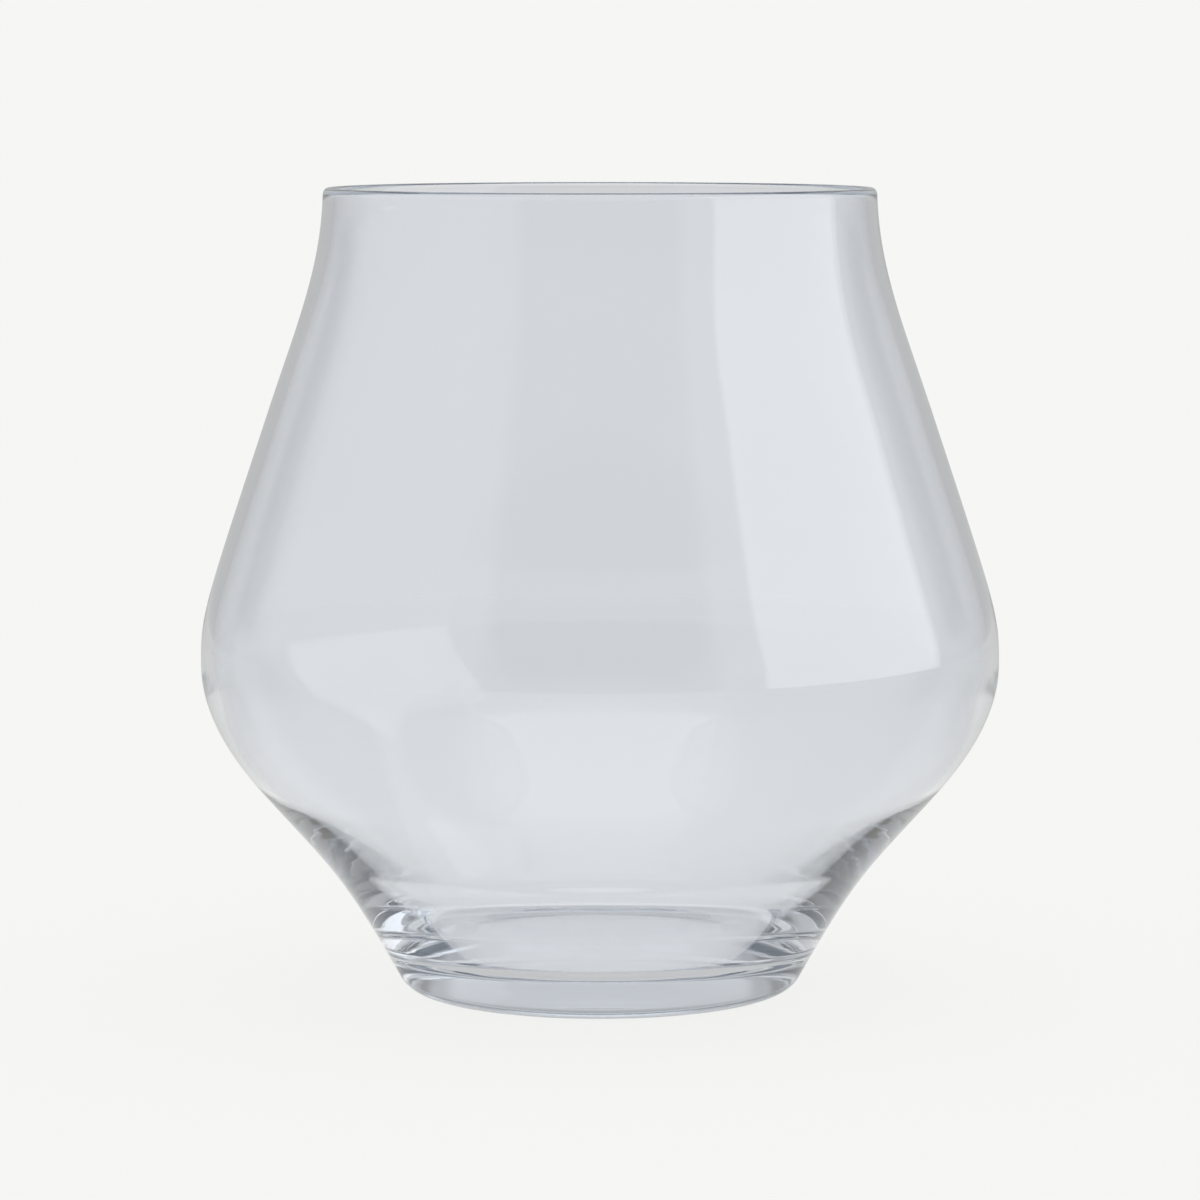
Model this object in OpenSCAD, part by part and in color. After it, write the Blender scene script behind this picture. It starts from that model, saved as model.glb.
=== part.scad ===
// Mixing glass: one free-standing vessel of clear glass, turned about the Z axis.
// A narrow upright mouth opens down a straight slope into a low, wide belly. The
// flank below the belly draws in to a thick solid foot that stands on a flat ring.
// Millimetres, +Z up. The origin is the centre of the circle that it stands on.

/* [Outside] */
// Height from the standing ring to the top of the lip
glass_h = 120; // [105:0.5:150]
// Outer diameter at the mouth
mouth_d = 82.2; // [68:0.2:100]
// Lean of the wall from the vertical just below the lip, where it widens downward
mouth_lean = 1.8; // [0:0.1:6]
// Depth below the lip at which the upright mouth has become a straight slope
shoulder_drop = 33; // [26:0.5:42]
// Outer diameter where the straight slope begins
shoulder_d = 98.7; // [82:0.1:110]
// Lean of the straight slope from the vertical
shoulder_lean = 18.5; // [10:0.1:26]
// Outer diameter of the belly, the widest place
belly_d = 119.2; // [104:0.2:145]
// Height of the widest place
belly_h = 49.2; // [40:0.1:60]
// Outer diameter on the flank, where it draws in most steeply
flank_d = 100.9; // [84:0.1:118]
// Height of that place on the flank
flank_h = 30.1; // [24:0.1:37]
// Lean of the flank from the vertical at that place, where it narrows downward
flank_lean = 41.5; // [34:0.1:47]
// Outer diameter of the foot, just above the heel
foot_d = 62.4; // [52:0.1:76]
// Height of that place on the foot
foot_h = 4; // [3:0.1:6]
// Lean of the foot from the vertical
foot_lean = 29.5; // [20:0.1:36]

/* [Wall] */
// Thickness of the wall at the mouth
mouth_wall = 1.7; // [1:0.05:2.4]
// Height of the rounded, fire-polished top of the lip
lip_h = 1.1; // [0.6:0.05:1.6]
// Thickness of the wall where the straight slope begins
shoulder_wall = 1.7; // [1:0.05:2.4]
// Thickness of the wall at the belly
belly_wall = 1.7; // [1:0.05:2.4]
// Thickness of the wall on the flank
flank_wall = 1.4; // [1:0.05:2.4]
// How many degrees further the inside of the flank leans than the outside
flank_turn = 1.3; // [0:0.1:4]
// Thickness of the wall half way down the bowl, below the flank
bowl_wall = 2.1; // [1.4:0.05:3]
// How many degrees further the inside of the bowl leans there than the outside
bowl_turn = 4.1; // [1:0.1:7]
// Thickness of the wall low in the bowl, beside the floor
low_wall = 3.8; // [2.6:0.05:5]
// How many degrees further the inside of the bowl leans there than the outside
low_turn = 10.2; // [6:0.1:13]

/* [Foot and floor] */
// Height of the inside floor above the standing ring
floor_h = 6.8; // [5:0.1:8.5]
// Radius of the rounded corner between the bowl and the floor
corner_r = 6; // [2:0.1:7.5]
// Radius of the heel, between the foot and the standing ring
heel_r = 4; // [1.5:0.1:4.5]
// Width of the flat ring that the glass stands on
ring_w = 2; // [1:0.1:4]
// Depth of the hollow inside the ring, under the foot
hollow_h = 0.4; // [0.2:0.05:1.2]
// Diameter of the flat top of that hollow
hollow_d = 26; // [16:0.5:36]

/* [Curves] */
// Below, each curve leaves its ends along their leans, and a pull says how far it
// follows them, as a part of the straight distance from end to end.
// Pull of the collar curve at the mouth
collar_pull_mouth = 0.33; // [0.15:0.01:0.6]
// Pull of the collar curve at the shoulder
collar_pull_shoulder = 0.4; // [0.15:0.01:0.6]
// Pull of the slope at the shoulder, long enough to keep it straight
slope_pull_shoulder = 0.81; // [0.5:0.01:0.85]
// Pull of the slope at the belly
slope_pull_belly = 0.19; // [0.1:0.01:0.4]
// Pull of the tuck under the belly, at the belly
tuck_pull_belly = 0.33; // [0.15:0.01:0.5]
// Pull of the tuck under the belly, at the flank
tuck_pull_flank = 0.35; // [0.15:0.01:0.5]
// Pull of the lower curve at the flank
lower_pull_flank = 0.45; // [0.15:0.01:0.6]
// Pull of the lower curve at the foot
lower_pull_foot = 0.51; // [0.15:0.01:0.6]
// Pull of the inside of the tuck at the belly
inner_tuck_pull_belly = 0.18; // [0.1:0.01:0.4]
// Pull of the inside of the tuck at the flank
inner_tuck_pull_flank = 0.46; // [0.25:0.01:0.6]
// Pull of the inside of the bowl at the flank
bowl_pull_flank = 0.27; // [0.15:0.01:0.45]
// Pull of the inside of the bowl half way down, towards the flank
bowl_pull_up = 0.28; // [0.15:0.01:0.45]
// Pull of the inside of the bowl half way down, towards the floor
bowl_pull_down = 0.16; // [0.1:0.01:0.4]
// Pull of the inside of the bowl beside the floor
bowl_pull_floor = 0.17; // [0.1:0.01:0.4]
// Where half way down the bowl is: 0 at the flank, 1 at the foot
bowl_share = 0.4; // [0.3:0.01:0.5]
// Where low in the bowl is: 0 at the flank, 1 at the foot
low_share = 0.9; // [0.8:0.01:0.95]

/* [Hidden] */

glass_tint = [0.82, 0.85, 0.88, 0.4];
curve_steps = 10;  // straight bands in each curve of the wall
arc_steps = 6;     // straight bands in each rounded edge
round_sides = 180; // sides drawn around the axis
hollow_pull = 0.45; // how softly the hollow under the foot leaves the ring

// A place is [radius, height, lean]. A lean is positive where the wall widens
// downward and negative where it narrows, and -90 runs level towards the axis.
mouth = [mouth_d / 2, glass_h - lip_h, mouth_lean];
shoulder = [shoulder_d / 2, glass_h - shoulder_drop, shoulder_lean];
belly = [belly_d / 2, belly_h, 0];
flank = [flank_d / 2, flank_h, -flank_lean];
foot = [foot_d / 2, foot_h, -foot_lean];

// The point of a place, without its lean
function at(place) = [place[0], place[1]];

// One millimetre down the wall, at a lean
function down(lean) = [sin(lean), -cos(lean)];

// One millimetre square to the wall, towards the axis, at a lean
function inward(lean) = [-cos(lean), -sin(lean)];

// The four control points of the curve from one place to the next
function curve(p, q, pull_p, pull_q) =
    let (reach = norm(at(q) - at(p)))
    [at(p), at(p) + pull_p * reach * down(p[2]), at(q) - pull_q * reach * down(q[2]), at(q)];

// The point at share t of a curve
function point_on(c, t) =
    pow(1 - t, 3) * c[0] + 3 * pow(1 - t, 2) * t * c[1] + 3 * (1 - t) * t * t * c[2] + pow(t, 3) * c[3];

// The lean of a curve at share t
function lean_on(c, t) =
    let (way = pow(1 - t, 2) * (c[1] - c[0]) + 2 * (1 - t) * t * (c[2] - c[1]) + t * t * (c[3] - c[2]))
    atan2(way[0], -way[1]);

// The place on a curve at share t
function place_on(c, t) = concat(point_on(c, t), lean_on(c, t));

// A curve cut into points, without its last one, which begins the next curve
function cut(c) = [for (i = [0 : curve_steps - 1]) point_on(c, i / curve_steps)];

// The place behind an outer place, through a wall, leaning turn degrees further in
function behind(place, wall, turn) =
    let (p = at(place) + wall * inward(place[2]))
    [p[0], p[1], place[2] - turn];

// Radius at which a rounded edge is centred, where it touches a sloping wall and
// a level face whose height is level
function edge_centre_r(place, edge_r, level) =
    place[0] - (edge_r + (level + edge_r - place[1]) * sin(place[2])) / cos(place[2]);

// That rounded edge, from the sloping wall round to the level face
function rounded_edge(place, edge_r, level) =
    let (c = [edge_centre_r(place, edge_r, level), level + edge_r])
    [for (i = [0 : arc_steps])
        let (a = place[2] + (-90 - place[2]) * i / arc_steps)
        c + edge_r * [cos(a), sin(a)]];

function reversed(list) = [for (i = [len(list) - 1 : -1 : 0]) list[i]];

lower = curve(flank, foot, lower_pull_flank, lower_pull_foot);

mouth_in = [mouth[0] - mouth_wall, mouth[1], mouth[2]];
shoulder_in = behind(shoulder, shoulder_wall, 0);
belly_in = behind(belly, belly_wall, 0);
flank_in = behind(flank, flank_wall, flank_turn);
bowl_in = behind(place_on(lower, bowl_share), bowl_wall, bowl_turn);
low_in = behind(place_on(lower, low_share), low_wall, low_turn);

ring_r = edge_centre_r(foot, heel_r, 0);
ring_inner = [ring_r - ring_w, 0, -90];
hollow_top = [hollow_d / 2, hollow_h, -90];

// Down the outside from the lip to the standing ring
outside = concat(
    cut(curve(mouth, shoulder, collar_pull_mouth, collar_pull_shoulder)),
    cut(curve(shoulder, belly, slope_pull_shoulder, slope_pull_belly)),
    cut(curve(belly, flank, tuck_pull_belly, tuck_pull_flank)),
    cut(lower),
    [at(foot)],
    rounded_edge(foot, heel_r, 0));

// Across the underside, from the ring to the axis
underside = concat(
    cut(curve(ring_inner, hollow_top, hollow_pull, hollow_pull)),
    [at(hollow_top), [0, hollow_h]]);

// Down the inside from the lip to the axis
inside = concat(
    cut(curve(mouth_in, shoulder_in, collar_pull_mouth, collar_pull_shoulder)),
    cut(curve(shoulder_in, belly_in, slope_pull_shoulder, slope_pull_belly)),
    cut(curve(belly_in, flank_in, inner_tuck_pull_belly, inner_tuck_pull_flank)),
    cut(curve(flank_in, bowl_in, bowl_pull_flank, bowl_pull_up)),
    cut(curve(bowl_in, low_in, bowl_pull_down, bowl_pull_floor)),
    [at(low_in)],
    rounded_edge(low_in, corner_r, floor_h),
    [[0, floor_h]]);

// Over the lip, from the inside to the outside
lip = [for (i = [1 : 2 * arc_steps - 1])
    let (a = 180 - 180 * i / (2 * arc_steps))
    [mouth[0] - mouth_wall / 2 + mouth_wall / 2 * cos(a), mouth[1] + lip_h * sin(a)]];

// The whole vessel: bowl, wall and foot are one piece of glass
module glass_vessel() {
    color(glass_tint)
        rotate_extrude($fn = round_sides)
            polygon(concat(outside, underside, reversed(inside), lip));
}

glass_vessel();
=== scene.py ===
# %% [markdown]
# # A mixing glass, turned from one profile
# A mixing glass is blown or pressed as a single piece of clear glass: a narrow mouth, a low
# wide belly and a thick solid foot. Nothing on it is joined, so there is one piece to make.
# What makes it hard is not its parts but its light. Almost everything that the eye reads,
# the dark edges, the bright curls in the foot and the pale panels on the wall, is the studio
# bent or mirrored by the glass, so the shape of the inside matters as much as the outside.
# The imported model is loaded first, as the fixed frame that the piece has to agree with.

# %% The frame
import math

import bmesh
import bpy
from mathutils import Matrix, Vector


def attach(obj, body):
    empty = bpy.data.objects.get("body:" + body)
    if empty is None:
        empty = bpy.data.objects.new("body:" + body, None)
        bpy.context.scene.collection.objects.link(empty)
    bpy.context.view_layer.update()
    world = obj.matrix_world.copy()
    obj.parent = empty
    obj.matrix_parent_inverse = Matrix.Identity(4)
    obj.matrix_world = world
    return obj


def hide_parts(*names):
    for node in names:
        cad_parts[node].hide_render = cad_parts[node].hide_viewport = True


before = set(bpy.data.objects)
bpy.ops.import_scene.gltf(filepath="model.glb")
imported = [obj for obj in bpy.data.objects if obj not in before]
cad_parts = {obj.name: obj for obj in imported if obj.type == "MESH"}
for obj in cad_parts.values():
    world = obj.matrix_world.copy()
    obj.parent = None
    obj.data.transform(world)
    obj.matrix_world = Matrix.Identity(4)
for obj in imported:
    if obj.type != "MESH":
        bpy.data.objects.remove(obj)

scene = bpy.context.scene
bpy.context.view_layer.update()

# %% [markdown]
# ## The camera
# The glass is seen from a little above, with a long lens, so that its sides hardly converge
# and the mouth shows as a very thin ellipse. The lens is worked out from how many times
# farther away the camera is than the frame is wide, because those two numbers set the
# perspective and nothing else does.

# %% The camera
MM = 0.001
SENSOR_MM = 36.0
FRAME_WIDTH = 179.61 * MM        # width of what is seen, at the axis of the glass
LENS_RATIO = 49 / 12             # distance to the axis, in frame widths
CAMERA_PITCH = math.radians(6.0)
AIM_HEIGHT = 58.44 * MM

camera_data = bpy.data.cameras.new("camera")
camera_data.sensor_width = SENSOR_MM
camera_data.lens = SENSOR_MM * LENS_RATIO
camera_data.clip_start = 0.01
camera = bpy.data.objects.new("camera", camera_data)
scene.collection.objects.link(camera)
distance = FRAME_WIDTH * LENS_RATIO
camera.location = (
    0.0,
    -distance * math.cos(CAMERA_PITCH),
    AIM_HEIGHT + distance * math.sin(CAMERA_PITCH),
)
camera.rotation_euler = (math.radians(90) - CAMERA_PITCH, 0.0, 0.0)
scene.camera = camera
print("camera distance, mm:", round(distance / MM, 1), "lens, mm:", round(camera_data.lens, 1))

# %% [markdown]
# ## A bench for nodes
# Both the shape and the finish are node trees. Written out one node at a time they are hard
# to read, so a small class wraps a socket and lets plain arithmetic build the Math nodes.
# Every other node comes from one method: its kind, then its settings, then its sockets.


# %% Arithmetic on sockets
class Number:
    """An output socket that can be added, multiplied and so on."""

    def __init__(self, bench, socket):
        self.bench = bench
        self.socket = socket

    def __add__(self, other):
        return self.bench.math("ADD", self, other)

    def __sub__(self, other):
        return self.bench.math("SUBTRACT", self, other)

    def __rsub__(self, other):
        return self.bench.math("SUBTRACT", other, self)

    def __mul__(self, other):
        return self.bench.math("MULTIPLY", self, other)

    def __truediv__(self, other):
        return self.bench.math("DIVIDE", self, other)

    def __neg__(self):
        return self.bench.math("MULTIPLY", self, -1.0)

    __radd__ = __add__
    __rmul__ = __mul__

    def output(self, name):
        """Another output of the node that this socket belongs to."""
        return Number(self.bench, self.socket.node.outputs[name])


class Bench:
    """A node tree and the two ways of putting a node in it."""

    def __init__(self, tree):
        self.tree = tree

    def node(self, kind, settings=None, sockets=None, output=0):
        made = self.tree.nodes.new(kind)
        for name, value in (settings or {}).items():
            setattr(made, name, value)
        for key, value in (sockets or {}).items():
            self.feed(made.inputs[key], value)
        return Number(self, made.outputs[output]) if made.outputs else made

    def feed(self, socket, value):
        for each in value if isinstance(value, list) else [value]:
            if isinstance(each, Number):
                self.tree.links.new(each.socket, socket)
            else:
                socket.default_value = each

    def math(self, operation, *values):
        return self.node(
            "ShaderNodeMath", {"operation": operation}, dict(enumerate(values))
        )

    def rise(self, value, start, end):
        """0 below start, 1 above end, and a smooth step between them."""
        sockets = {"Value": value, "From Min": start, "From Max": end}
        return self.node("ShaderNodeMapRange", {"interpolation_type": "SMOOTHSTEP"}, sockets)


# %% [markdown]
# ## The sizes of the vessel
# The same few sizes that the solid model was drawn from, in millimetres. A place on the
# outside is a radius, a height and a lean; the inside lies behind it, through the wall.
# They are the named inputs of the node tree below, so the tree can turn another vessel too.

# %% Sizes
SIZES_MM = {
    "Height": 120.0,
    "Mouth radius": 41.1,
    "Shoulder drop": 33.0,
    "Shoulder radius": 49.35,
    "Belly radius": 59.6,
    "Belly height": 49.2,
    "Flank radius": 50.45,
    "Flank height": 30.1,
    "Foot radius": 31.2,
    "Foot height": 4.0,
    "Mouth wall": 1.7,
    "Lip height": 1.1,
    "Shoulder wall": 1.7,
    "Belly wall": 1.7,
    "Flank wall": 1.4,
    "Bowl wall": 2.1,
    "Low wall": 3.8,
    "Floor height": 6.8,
    "Corner radius": 6.0,
    "Heel radius": 4.0,
    "Ring width": 2.0,
    "Hollow height": 0.4,
    "Hollow radius": 13.0,
}
LEANS_DEG = {
    "Mouth lean": 1.8,
    "Shoulder lean": 18.5,
    "Flank lean": -41.5,
    "Foot lean": -29.5,
    "Flank turn": 1.3,
    "Bowl turn": 4.1,
    "Low turn": 10.2,
}
SHARES = {
    "Collar pull, mouth": 0.33,
    "Collar pull, shoulder": 0.40,
    "Slope pull, shoulder": 0.81,
    "Slope pull, belly": 0.19,
    "Tuck pull, belly": 0.33,
    "Tuck pull, flank": 0.35,
    "Lower pull, flank": 0.45,
    "Lower pull, foot": 0.51,
    "Inner tuck pull, belly": 0.18,
    "Inner tuck pull, flank": 0.46,
    "Bowl pull, flank": 0.27,
    "Bowl pull, up": 0.28,
    "Bowl pull, down": 0.16,
    "Bowl pull, floor": 0.17,
    "Bowl share": 0.40,
    "Low share": 0.90,
    "Hollow pull": 0.45,
}
STEPS = {"Steps along a curve": 26, "Steps round the axis": 256}
print("sizes:", len(SIZES_MM) + len(LEANS_DEG) + len(SHARES), "named inputs")

# %% [markdown]
# ## The turned shape
# A potter's or glassblower's profile turned round an axis is a rule, so Geometry Nodes draw
# it. Spin or the Screw modifier would also do it, but from a profile that was drawn by hand;
# here the profile itself is worked out from the inputs. Each stretch of it is one Bezier
# segment that leaves its ends along their leans. The stretches are joined, carried round a
# circle by Curve to Mesh, and merged where they meet.

# %% The tree and its inputs
vessel_tree = bpy.data.node_groups.new("turned vessel", "GeometryNodeTree")
face = vessel_tree.interface
face.new_socket("Geometry", in_out="OUTPUT", socket_type="NodeSocketGeometry")
for group in (SIZES_MM, LEANS_DEG, SHARES):
    for name in group:
        face.new_socket(name, in_out="INPUT", socket_type="NodeSocketFloat")
for name in STEPS:
    face.new_socket(name, in_out="INPUT", socket_type="NodeSocketInt")

bench = Bench(vessel_tree)
inputs = bench.node("NodeGroupInput")
given = inputs.output


# %% Places on the profile
class Place:
    """A radius and a height, with the sine and cosine of the lean there."""

    def __init__(self, radius, height, sine, cosine):
        self.radius, self.height = radius, height
        self.sine, self.cosine = sine, cosine

    def down(self, length):
        """The point that is length down the wall, along the lean."""
        return self.radius + length * self.sine, self.height - length * self.cosine

    def up(self, length):
        return self.radius - length * self.sine, self.height + length * self.cosine

    def behind(self, wall, turn=None):
        """The place behind this one, through a wall, leaning turn further in."""
        sine, cosine = self.sine, self.cosine
        radius, height = self.radius - wall * cosine, self.height - wall * sine
        if turn is not None:
            s, c = turned(turn)
            sine, cosine = sine * c - cosine * s, cosine * c + sine * s
        return Place(radius, height, sine, cosine)


def turned(degrees):
    angle = bench.math("RADIANS", degrees)
    return bench.math("SINE", angle), bench.math("COSINE", angle)


def outer_place(radius, height, lean=None):
    if lean is None:
        return Place(radius, height, 0.0, 1.0)
    return Place(radius, height, *turned(lean))


def level_place(radius, height):
    """A place where the profile runs level towards the axis."""
    return Place(radius, height, -1.0, 0.0)


def reach(p, q):
    across, along = q.radius - p.radius, q.height - p.height
    return bench.math("SQRT", across * across + along * along)


mouth = outer_place(
    given("Mouth radius"), given("Height") - given("Lip height"), given("Mouth lean")
)
shoulder = outer_place(
    given("Shoulder radius"), given("Height") - given("Shoulder drop"), given("Shoulder lean")
)
belly = outer_place(given("Belly radius"), given("Belly height"))
flank = outer_place(given("Flank radius"), given("Flank height"), given("Flank lean"))
foot = outer_place(given("Foot radius"), given("Foot height"), given("Foot lean"))

# %% Stretches of the profile
TURNING_CIRCLE = 0.010   # radius of the circle that the profile is carried round


def spot(radius, height):
    """A point of the profile as the sweep wants it: out from the turning circle, and down."""
    return bench.node(
        "ShaderNodeCombineXYZ", None, {"X": radius - TURNING_CIRCLE, "Y": 0.0 - height}
    )


def stretch(start, start_handle, end_handle, end, steps=None):
    sockets = {
        "Resolution": given("Steps along a curve") if steps is None else steps,
        "Start": spot(*start),
        "Start Handle": spot(*start_handle),
        "End Handle": spot(*end_handle),
        "End": spot(*end),
    }
    return bench.node("GeometryNodeCurvePrimitiveBezierSegment", {"mode": "POSITION"}, sockets)


def curve(p, q, pull_p, pull_q, length=None):
    """Leaves p and reaches q along their leans."""
    length = reach(p, q) if length is None else length
    return stretch(
        (p.radius, p.height), p.down(pull_p * length), q.up(pull_q * length), (q.radius, q.height)
    )


def straight(start, end, steps=6):
    return stretch(start, start, end, end, steps)


def rounded_edge(place, edge_radius, level, steps=14):
    """From a sloping wall round to a level face; also gives where it starts and ends."""
    fall = level + edge_radius - place.height
    centre = place.radius - (edge_radius + fall * place.sine) / place.cosine
    angle = bench.math("ARCTAN2", place.cosine, -place.sine)
    handle = bench.math("TANGENT", angle / 4.0) * edge_radius * (4.0 / 3.0)
    start = Place(
        centre + edge_radius * place.cosine,
        level + edge_radius + edge_radius * place.sine,
        place.sine,
        place.cosine,
    )
    end = (centre, level)
    edge = stretch(
        (start.radius, start.height), start.down(handle), (centre + handle, level), end, steps
    )
    return edge, start, centre


# %% The outside, from the lip to the standing ring
def point_on(p, q, pull_p, pull_q, share):
    """The place at a share of the way along the curve from p to q."""
    length = reach(p, q)
    a, b = (p.radius, p.height), p.down(pull_p * length)
    c, d = q.up(pull_q * length), (q.radius, q.height)
    rest = 1.0 - share
    weights = (
        rest * rest * rest,
        rest * rest * share * 3.0,
        rest * share * share * 3.0,
        share * share * share,
    )
    pace = (rest * rest, rest * share * 2.0, share * share)
    where, way = [], []
    for k in (0, 1):
        where.append(sum((w * x[k] for w, x in zip(weights, (a, b, c, d))), 0.0))
        way.append(sum((w * (y[k] - x[k]) for w, x, y in zip(pace, (a, b, c), (b, c, d))), 0.0))
    speed = bench.math("SQRT", way[0] * way[0] + way[1] * way[1])
    return Place(where[0], where[1], way[0] / speed, -way[1] / speed)


lower_pulls = given("Lower pull, flank"), given("Lower pull, foot")
heel, heel_start, ring_radius = rounded_edge(foot, given("Heel radius"), 0.0)
ring_inner = level_place(ring_radius - given("Ring width"), 0.0)
hollow_top = level_place(given("Hollow radius"), given("Hollow height"))
outside = [
    curve(mouth, shoulder, given("Collar pull, mouth"), given("Collar pull, shoulder")),
    curve(shoulder, belly, given("Slope pull, shoulder"), given("Slope pull, belly")),
    curve(belly, flank, given("Tuck pull, belly"), given("Tuck pull, flank")),
    curve(flank, foot, *lower_pulls),
    straight((foot.radius, foot.height), (heel_start.radius, heel_start.height), 2),
    heel,
    straight((ring_radius, 0.0), (ring_inner.radius, 0.0), 2),
    curve(ring_inner, hollow_top, given("Hollow pull"), given("Hollow pull")),
    straight((hollow_top.radius, hollow_top.height), (0.0, hollow_top.height)),
]

# %% The inside, from the lip to the middle of the floor
mouth_in = Place(mouth.radius - given("Mouth wall"), mouth.height, mouth.sine, mouth.cosine)
shoulder_in = shoulder.behind(given("Shoulder wall"))
belly_in = belly.behind(given("Belly wall"))
flank_in = flank.behind(given("Flank wall"), given("Flank turn"))
bowl_out = point_on(flank, foot, *lower_pulls, given("Bowl share"))
bowl_in = bowl_out.behind(given("Bowl wall"), given("Bowl turn"))
low_out = point_on(flank, foot, *lower_pulls, given("Low share"))
low_in = low_out.behind(given("Low wall"), given("Low turn"))
corner, corner_start, floor_radius = rounded_edge(
    low_in, given("Corner radius"), given("Floor height"), 20
)
inside = [
    curve(mouth_in, shoulder_in, given("Collar pull, mouth"), given("Collar pull, shoulder")),
    curve(shoulder_in, belly_in, given("Slope pull, shoulder"), given("Slope pull, belly")),
    curve(belly_in, flank_in, given("Inner tuck pull, belly"), given("Inner tuck pull, flank")),
    curve(flank_in, bowl_in, given("Bowl pull, flank"), given("Bowl pull, up")),
    curve(bowl_in, low_in, given("Bowl pull, down"), given("Bowl pull, floor")),
    straight((low_in.radius, low_in.height), (corner_start.radius, corner_start.height), 2),
    corner,
    straight((floor_radius, given("Floor height")), (0.0, given("Floor height"))),
]

# %% The lip, one rounded edge over the top
ROUND = 0.5523   # handle of a quarter of a round, as a part of its radius
half_wall = given("Mouth wall") * 0.5
lip_middle = mouth.radius - half_wall
lip_top = (lip_middle, given("Height"))
lip_rise = mouth.height + given("Lip height") * ROUND
lip = [
    stretch((mouth_in.radius, mouth.height), (mouth_in.radius, lip_rise),
            (lip_middle - half_wall * ROUND, given("Height")), lip_top, 10),
    stretch(lip_top, (lip_middle + half_wall * ROUND, given("Height")),
            (mouth.radius, lip_rise), (mouth.radius, mouth.height), 10),
]
print("stretches:", len(outside), "outside,", len(inside), "inside,", len(lip), "over the lip")

# %% [markdown]
# ## Carrying the profile round
# Curve to Mesh needs to know which way is out, so the circle's normals are set to Z-up: the
# profile's first axis then points away from the axis and its second one down.

# %% The sweep
SAME_POINT = 0.5e-6   # points that are nearer than this are one point

glass_finish = bpy.data.materials.new("clear glass")
glass_finish.use_nodes = True

circle = bench.node(
    "GeometryNodeCurvePrimitiveCircle",
    {"mode": "RADIUS"},
    {"Resolution": given("Steps round the axis"), "Radius": TURNING_CIRCLE},
)
circle = bench.node("GeometryNodeSetCurveNormal", {"mode": "Z_UP"}, {"Curve": circle})
profile = bench.node("GeometryNodeJoinGeometry", None, {0: outside + inside + lip})
turned_shape = bench.node(
    "GeometryNodeCurveToMesh", None, {"Curve": circle, "Profile Curve": profile}
)
merged = bench.node(
    "GeometryNodeMergeByDistance", None, {"Geometry": turned_shape, "Distance": SAME_POINT}
)
smooth = bench.node("GeometryNodeSetShadeSmooth", None, {"Geometry": merged})
real = bench.node("GeometryNodeRealizeInstances", None, {"Geometry": smooth})
finished = bench.node(
    "GeometryNodeSetMaterial", None, {"Geometry": real, "Material": glass_finish}
)
bench.node("NodeGroupOutput", None, {0: finished})


# %% The vessel as a plain mesh
def from_tree(name, tree, values):
    """Evaluates a node tree on an empty mesh and keeps the result as a plain mesh."""
    holder = bpy.data.objects.new(name, bpy.data.meshes.new(name))
    scene.collection.objects.link(holder)
    modifier = holder.modifiers.new("nodes", "NODES")
    modifier.node_group = tree
    for item in tree.interface.items_tree:
        if item.item_type == "SOCKET" and item.in_out == "INPUT":
            modifier[item.identifier] = values[item.name]
    evaluated = holder.evaluated_get(bpy.context.evaluated_depsgraph_get())
    made = bpy.data.meshes.new_from_object(evaluated)
    holder.modifiers.clear()
    holder.data = made
    made.name = name
    return holder


values = {name: size * MM for name, size in SIZES_MM.items()}
values |= LEANS_DEG | SHARES | STEPS
vessel = from_tree("vessel", vessel_tree, values)


# %% [markdown]
# A closed shell of glass only refracts well if every face points outwards and no seam is
# open, so doubles are merged once more, normals are recalculated, and both are measured.


# %% Closing and measuring the shell
def close_shell(mesh):
    shell = bmesh.new()
    shell.from_mesh(mesh)
    bmesh.ops.remove_doubles(shell, verts=shell.verts, dist=SAME_POINT)
    bmesh.ops.dissolve_degenerate(shell, edges=shell.edges, dist=1e-8)
    bmesh.ops.recalc_face_normals(shell, faces=shell.faces)
    if shell.calc_volume(signed=True) < 0:
        bmesh.ops.reverse_faces(shell, faces=shell.faces)
    for each in shell.faces:
        each.smooth = True
    open_edges = sum(len(e.link_faces) != 2 for e in shell.edges)
    triangles = sum(len(f.verts) - 2 for f in shell.faces)
    volume = shell.calc_volume()
    shell.to_mesh(mesh)
    shell.free()
    mesh.update()
    return open_edges, triangles, volume


open_edges, triangles, volume = close_shell(vessel.data)
print("open edges:", open_edges, "triangles:", triangles, "glass, cm3:", round(volume * 1e6, 2))

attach(vessel, "root")
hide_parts("glass_vessel")

# %% [markdown]
# ## Clear glass
# Clear glass, taken to be the common soda-lime kind. Two things colour it. Each wall that a
# ray passes takes its share of the base colour, so that is the tint of one wall. The volume
# then absorbs a little with every millimetre, so the thick foot, where light travels far
# inside the glass, comes out cooler and darker than the wall without being painted so. The
# base colour is a touch lighter in the foot, because the volume does more of the work there.
# Glass is never quite flat, which shows as a slight waver in the edges of what it mirrors,
# and the ring that it stands on is scuffed by use. Both are invented detail.

# %% The glass finish
WALL_TINT = (0.873, 0.889, 0.919, 1.0)
FOOT_TINT = (0.895, 0.910, 0.936, 1.0)
DEPTH_TINT = (0.20, 0.31, 0.44, 1.0)     # what is left of white, deep inside
DEPTH_DENSITY = 5.0                      # per metre of glass
FOOT_TINT_HEIGHTS = 0.006, 0.020         # the foot's tint below, the wall's above
RING_HEIGHTS = 0.00005, 0.00035          # the standing ring is below these
RING_RADII = 0.0243, 0.0248              # and outside these
SCUFFED_ROUGHNESS = 0.12
GRIT_SCALE, GRIT_SHOWS = 2600.0, (0.52, 0.68)
WAVER_SCALE, WAVER_DEPTH = 55.0, 0.0002

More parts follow.
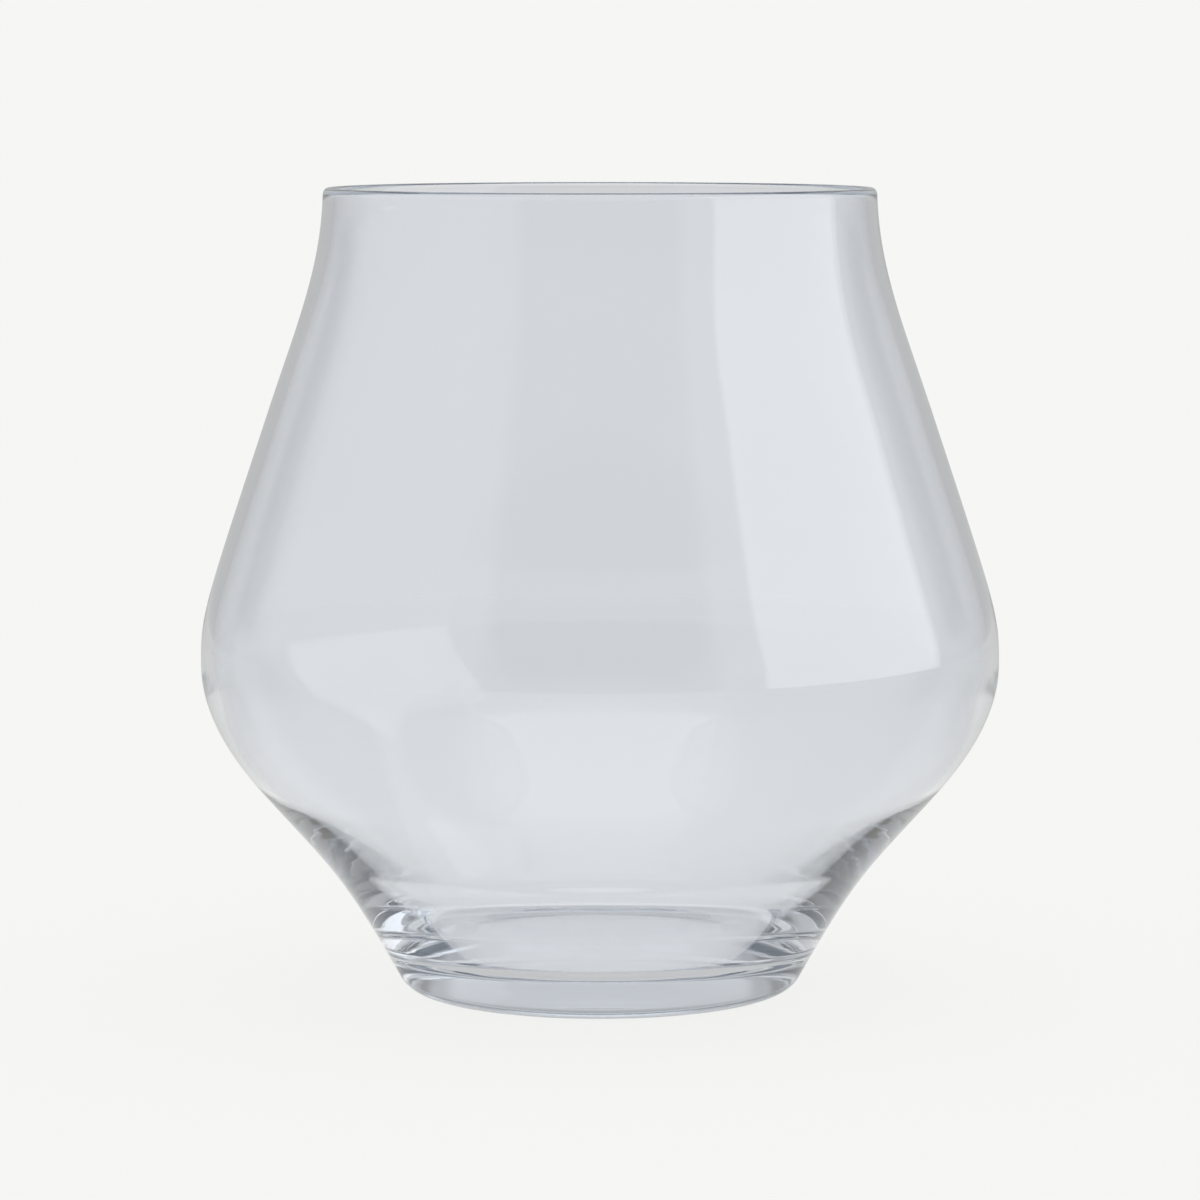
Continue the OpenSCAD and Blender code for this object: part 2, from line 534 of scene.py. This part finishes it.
glass_finish.node_tree.nodes.clear()
bench = Bench(glass_finish.node_tree)
place = bench.node("ShaderNodeTexCoord").output("Object")
split = bench.node("ShaderNodeSeparateXYZ", None, {"Vector": place})
across, along, up = split.output("X"), split.output("Y"), split.output("Z")
out = bench.math("SQRT", across * across + along * along)

in_foot = 1.0 - bench.rise(up, *FOOT_TINT_HEIGHTS)
tint = bench.node(
    "ShaderNodeMix",
    {"data_type": "RGBA"},
    {"Factor": in_foot, 6: WALL_TINT, 7: FOOT_TINT},
    2,
)

grit = bench.node(
    "ShaderNodeTexNoise", None, {"Vector": place, "Scale": GRIT_SCALE, "Detail": 3.0}
)
scuff = bench.rise(grit, *GRIT_SHOWS)
on_ring = (1.0 - bench.rise(up, *RING_HEIGHTS)) * bench.rise(out, *RING_RADII)
roughness = on_ring * scuff * SCUFFED_ROUGHNESS

waver = bench.node(
    "ShaderNodeTexNoise", None, {"Vector": place, "Scale": WAVER_SCALE, "Detail": 1.0}
)
bump = bench.node(
    "ShaderNodeBump", None, {"Strength": 0.10, "Distance": WAVER_DEPTH, "Height": waver}
)
surface = bench.node(
    "ShaderNodeBsdfPrincipled",
    None,
    {
        "Base Color": tint,
        "Roughness": roughness,
        "IOR": 1.52,
        "Transmission Weight": 1.0,
        "Normal": bump,
    },
)
depth = bench.node(
    "ShaderNodeVolumeAbsorption", None, {"Color": DEPTH_TINT, "Density": DEPTH_DENSITY}
)
bench.node("ShaderNodeOutputMaterial", None, {"Surface": surface, "Volume": depth})
print("glass nodes:", len(glass_finish.node_tree.nodes))

# %% [markdown]
# ## Floor
# A plain pale floor, a round sheet. It is a mix of two surfaces. One is matt and takes the
# shadow. The other gives out the plain background colour, to the camera and to light that the
# glass has bent or mirrored, and farther off it takes over, so that no horizon is drawn.
#
# How light the glass shows the floor is set by a few dials, for a studio that can't be known.
# The floor is darker under the foot and far off, and lighter in a ring under the heel, where
# the glass gathers light. Light that was turned back inside the glass many times is made
# darker as well. None of this is physics. It could be left out, and the glass would still be
# clear glass, with paler edges in its foot.

# %% The floor
BACKGROUND = (0.921, 0.921, 0.905, 1.0)
FLOOR_COLOUR = (0.90, 0.90, 0.885, 1.0)
FLOOR_RADIUS = 0.9
FLOOR_DEPTH = 0.0001
SEEN_SHARE = 0.92        # how much of the plain background the camera sees in the floor
MIRRORED_SHARE = 0.93    # and how much of it the glass shows
SHADE_UNDER_FOOT = 0.28  # how much darker its mirror images show the floor under the foot
GATHERED_LIGHT = 0.14    # how much lighter the floor is in a ring under the heel
LONG_WAY = (9.0, 15.0)   # times that light is turned back before it is called a long way
VERY_LONG_WAY = (22.0, 30.0)
LONG_WAY_SHADE = 0.80    # how much darker light is that came such a long way
FAR_LEVEL = 0.78         # how light its mirror images show the floor far off
GRAZING_LEVEL = 0.76     # and how light, times that, the outside of the glass mirrors it
UNDER_FOOT = 0.032, 0.045        # radii where the shade under the foot ends
FAR_OFF = 0.08, 0.32             # radii over which the floor gets darker
GRAZING_OFF = 0.045, 0.14        # the same, as the outside of the glass mirrors it
BACKGROUND_ONLY = 0.15, 0.60     # radii over which the plain background takes over
GATHERED_RING = (0.0275, 0.0285), (0.0300, 0.0310)
ONCE = 0.5               # more than this many times is at least once
ONE_WALL = 2.5           # light has passed no more than one wall if it went through fewer faces

floor_shape = bmesh.new()
bmesh.ops.create_circle(floor_shape, cap_ends=True, segments=96, radius=FLOOR_RADIUS)
bmesh.ops.translate(floor_shape, verts=floor_shape.verts, vec=(0.0, 0.0, -FLOOR_DEPTH))
floor_mesh = bpy.data.meshes.new("floor")
floor_shape.to_mesh(floor_mesh)
floor_shape.free()
floor = bpy.data.objects.new("floor", floor_mesh)
scene.collection.objects.link(floor)

floor_finish = bpy.data.materials.new("pale floor")
floor_finish.use_nodes = True
floor_finish.node_tree.nodes.clear()
bench = Bench(floor_finish.node_tree)
place = bench.node("ShaderNodeTexCoord").output("Object")
split = bench.node("ShaderNodeSeparateXYZ", None, {"Vector": place})
across, along = split.output("X"), split.output("Y")
out = bench.math("SQRT", across * across + along * along)
matt = bench.node("ShaderNodeBsdfDiffuse", None, {"Color": FLOOR_COLOUR})
light_path = bench.node("ShaderNodeLightPath")
beheld = bench.math(
    "MAXIMUM", light_path.output("Is Glossy Ray"), light_path.output("Is Transmission Ray")
)
turned_back = bench.math("GREATER_THAN", light_path.output("Glossy Depth"), ONCE)
solid_only = bench.math("LESS_THAN", light_path.output("Transmission Depth"), ONE_WALL)
mirrored = bench.math("MAXIMUM", turned_back, solid_only) * beheld
share = light_path.output("Is Camera Ray") * SEEN_SHARE + beheld * MIRRORED_SHARE
share = bench.math("MAXIMUM", share, bench.rise(out, *BACKGROUND_ONLY))
depth = light_path.output("Glossy Depth")
long_way = bench.rise(depth, *LONG_WAY) * (1.0 - bench.rise(depth, *VERY_LONG_WAY))
level = 1.0 - long_way * LONG_WAY_SHADE
under_foot = 1.0 - bench.rise(out, *UNDER_FOOT)
level = level * (1.0 - turned_back * under_foot * SHADE_UNDER_FOOT)
level = level * (1.0 - mirrored * bench.rise(out, *FAR_OFF) * (1.0 - FAR_LEVEL))
not_inside = bench.math("LESS_THAN", light_path.output("Transmission Depth"), ONCE)
on_outside = turned_back * not_inside
level = level * (1.0 - on_outside * bench.rise(out, *GRAZING_OFF) * (1.0 - GRAZING_LEVEL))
gathered = bench.rise(out, *GATHERED_RING[0]) * (1.0 - bench.rise(out, *GATHERED_RING[1]))
level = level + gathered * beheld * (1.0 - turned_back) * GATHERED_LIGHT
shown = bench.node(
    "ShaderNodeVectorMath", {"operation": "SCALE"}, {0: BACKGROUND[:3], "Scale": level}
)
plain = bench.node("ShaderNodeEmission", None, {"Color": shown, "Strength": 1.0})
floor_surface = bench.node("ShaderNodeMixShader", None, {0: share, 1: matt, 2: plain})
bench.node("ShaderNodeOutputMaterial", None, {"Surface": floor_surface})
floor_mesh.materials.append(floor_finish)

# %% [markdown]
# ## Studio
# Round the glass stands a plain studio: a pale background, a large soft panel on the right,
# a dimmer one on the left, one overhead, and a darker room between them. Glass shows its
# edges only where it mirrors something darker than what lies behind it. The panels are
# drawn by direction in the world. They could also be sheets on stands, but drawn like this
# they take no room, cast no shadow, and can tell one ray from another by the way it came.
#
# Which of the two a ray meets depends on its way. One that the glass has mirrored, or that
# has only passed one wall or the solid foot, meets the room. One that goes on through both
# walls of the bowl meets the same pale background as the camera does. The shade on light
# that came a long way is the same dial as on the floor.

# %% The studio, by direction
# Each panel: azimuth from and to, elevation from and to, its level, and how soft its edge
# is. Angles are in degrees. Azimuth 0 is behind the glass, and 90 is on its right.
ROOM_LEVEL = 0.68
PLAIN_LIGHT = 0.95   # what matt surfaces are lit by, the same from every side
PANELS = {
    "backdrop": (-36, 36, 8, 29, 1.00, 4.0),
    "gap, left": (-60, -46, 4, 22, 0.30, 4.0),
    "gap, right": (46, 60, 4, 22, 0.30, 4.0),
    "left panel": (-134, -68, -12, 40, 0.80, 3.0),
    "camera side, left": (-190, -146, -12, 46, 0.28, 4.0),
    "camera side, right": (146, 190, -12, 46, 0.28, 4.0),
    "right panel": (67, 132, -12, 50, 1.85, 1.0),
    "ceiling": (-180, 180, 50, 90, 0.85, 4.0),
    "overhead panel": (-180, 180, 62, 90, 1.70, 4.0),
}

FLOOR_FAR_OFF = (-8.0, -0.8, 0.2)   # elevations from and to, and how soft the edges are
PALE_SHARE = 0.55                   # how much of the pale background shows there

world = bpy.data.worlds.new("studio")
scene.world = world
world.use_nodes = True
world.node_tree.nodes.clear()
bench = Bench(world.node_tree)
way = bench.node("ShaderNodeTexCoord").output("Generated")
split = bench.node("ShaderNodeSeparateXYZ", None, {"Vector": way})
azimuth = bench.math("ARCTAN2", split.output("X"), split.output("Y")) * math.degrees(1)
elevation = bench.math("ARCSINE", split.output("Z")) * math.degrees(1)


def between(value, start, end, softness):
    return bench.rise(value, start - softness, start + softness) * (
        1.0 - bench.rise(value, end - softness, end + softness)
    )


level = ROOM_LEVEL
for start, end, bottom, top, strength, softness in PANELS.values():
    here = between(elevation, bottom, top, softness)
    if end - start < 360:
        here = here * between(azimuth, start, end, softness)
    level = level + here * (strength - level)

light_path = bench.node("ShaderNodeLightPath")
depth = light_path.output("Glossy Depth")
long_way = bench.rise(depth, *LONG_WAY) * (1.0 - bench.rise(depth, *VERY_LONG_WAY))
level = level * (1.0 - long_way * LONG_WAY_SHADE)
turned_back = bench.math("GREATER_THAN", depth, ONCE)
solid_only = bench.math("LESS_THAN", light_path.output("Transmission Depth"), ONE_WALL)
solid_only = solid_only * (1.0 - light_path.output("Is Camera Ray"))
solid_only = solid_only * (1.0 - between(elevation, *FLOOR_FAR_OFF) * PALE_SHARE)
mirrored = bench.math("MAXIMUM", turned_back, solid_only)
seen = bench.math(
    "MAXIMUM",
    bench.math("MAXIMUM", light_path.output("Is Camera Ray"), light_path.output("Is Glossy Ray")),
    light_path.output("Is Transmission Ray"),
)
room = bench.node("ShaderNodeBackground", None, {"Strength": level})
pale = bench.node("ShaderNodeBackground", None, {"Color": BACKGROUND, "Strength": 1.0})
plain_light = bench.node(
    "ShaderNodeBackground", None, {"Color": (1, 1, 1, 1), "Strength": PLAIN_LIGHT}
)
shown = bench.node("ShaderNodeMixShader", None, {0: mirrored, 1: pale, 2: room})
lit = bench.node("ShaderNodeMixShader", None, {0: seen, 1: plain_light, 2: shown})
bench.node("ShaderNodeOutputWorld", None, {"Surface": lit})
print("panels:", ", ".join(PANELS))

# %% [markdown]
# One soft lamp overhead gives the floor its faint shadow. It stays out of the mirror images,
# where a panel already stands for it.


# %% The lamp
def soft_lamp(name, location, width, height, power):
    data = bpy.data.lights.new(name, "AREA")
    data.shape = "RECTANGLE"
    data.size, data.size_y = width, height
    data.energy = power
    lamp = bpy.data.objects.new(name, data)
    scene.collection.objects.link(lamp)
    lamp.location = location
    aim = Vector((0.0, 0.0, 0.05)) - Vector(location)
    lamp.rotation_euler = aim.to_track_quat("-Z", "Y").to_euler()
    lamp.visible_camera = False
    lamp.visible_glossy = False
    lamp.visible_transmission = False
    return lamp


soft_lamp("overhead lamp", location=(0.15, 0.10, 1.1), width=0.7, height=0.7, power=1.2)

# %% [markdown]
# ## Light through glass
# The wall carries light along it like a pipe: a ray that enters at the lip or in the foot may
# be turned back inside the glass dozens of times before it gets out. With the usual limit it
# would stop there and leave a black line, so the limits are raised.

# %% Bounces and the picture's own settings
BOUNCES = 96
scene.cycles.max_bounces = BOUNCES
scene.cycles.transmission_bounces = BOUNCES
scene.cycles.glossy_bounces = BOUNCES
scene.view_settings.view_transform = "Standard"
